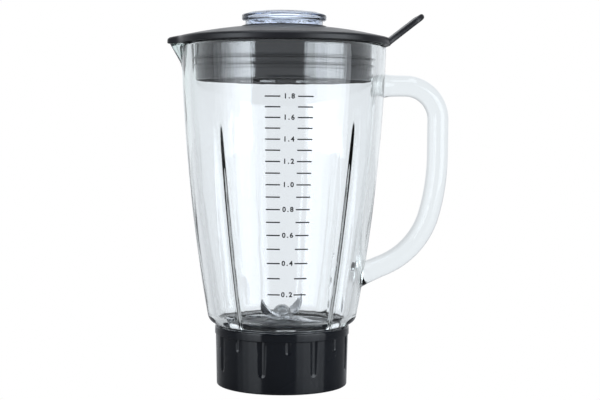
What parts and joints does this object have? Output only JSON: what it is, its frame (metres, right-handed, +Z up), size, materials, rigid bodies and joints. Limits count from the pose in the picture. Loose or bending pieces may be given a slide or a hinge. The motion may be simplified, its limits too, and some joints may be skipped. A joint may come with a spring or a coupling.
{
  "type": "blender jug",
  "caption": "Tapered glass blender jug with loop handle, spout, domed lid with lift tab, clear filler cap, bladed drive unit and fluted threaded collar.",
  "frame": {"origin": "centre of the collar's socket on the plane that the collar stands on", "axes": "+Z up the jug's axis to the lid, -Y towards the volume scale, +X towards the handle, -X towards the spout"},
  "size_m": [0.207, 0.156, 0.2726],
  "materials": {
    "clear_glass": "clear soda-lime glass with a faint green edge",
    "scale_ink": "fired dark grey ink",
    "black_satin": "satin moulded",
    "black_gloss": "high gloss moulded",
    "seal_rubber": "matt silicone",
    "clear_plastic": "clear moulded plastic, faintly blue",
    "carrier_plastic": "glass-filled, fine texture",
    "stainless": "turned",
    "blade_steel": "ground, with bright edges",
    "bronze": "sintered",
    "coupling_plastic": "moulded"
  },
  "bodies": {
    "jug": {"glass_jug": "clear_glass", "glass_handle": "clear_glass", "volume_scale": "scale_ink"},
    "lid": {"lid_cover": "black_satin", "lid_plug": "black_gloss", "lid_seal": "seal_rubber"},
    "cap": {"measuring_cap": "clear_plastic", "cap_seal": "seal_rubber"},
    "blade_unit": {"blade_carrier": "carrier_plastic", "carrier_gasket": "seal_rubber", "bearing_housing": "stainless", "housing_nut": "stainless", "upper_bush": "bronze", "lower_bush": "bronze", "shaft_seal": "seal_rubber"},
    "collar": {"collar_ring": "black_gloss"},
    "rotor": {"spindle": "stainless", "bottom_washer": "stainless", "lower_blades": "blade_steel", "blade_spacer": "stainless", "upper_blades": "blade_steel", "lock_washer": "stainless", "cap_nut": "stainless", "drive_coupling": "coupling_plastic", "coupling_insert": "bronze", "thrust_washer": "stainless"}
  },
  "joints": [
    {"name": "lid_lift", "type": "slide", "parent": "jug", "child": "lid", "axis": [0, 0, 1], "range_m": [0, 0.034]},
    {"name": "cap_lift", "type": "slide", "parent": "lid", "child": "cap", "axis": [0, 0, 1], "range_m": [0, 0.03]},
    {"name": "blade_lower", "type": "slide", "parent": "jug", "child": "blade_unit", "axis": [0, 0, -1], "range_m": [0, 0.0073]},
    {"name": "collar_turn", "type": "hinge", "parent": "blade_unit", "child": "collar", "pos_m": [0, 0, 0.03], "axis": [0, 0, -1], "range_deg": [0, 111]},
    {"name": "blade_spin", "type": "hinge", "parent": "blade_unit", "child": "rotor", "pos_m": [0, 0, 0.04], "axis": [0, 0, 1], "continuous": true}
  ],
  "couplings": [
    {"joint": "collar_turn", "follows": "blade_lower", "rad_per_m": 261.8}
  ]
}
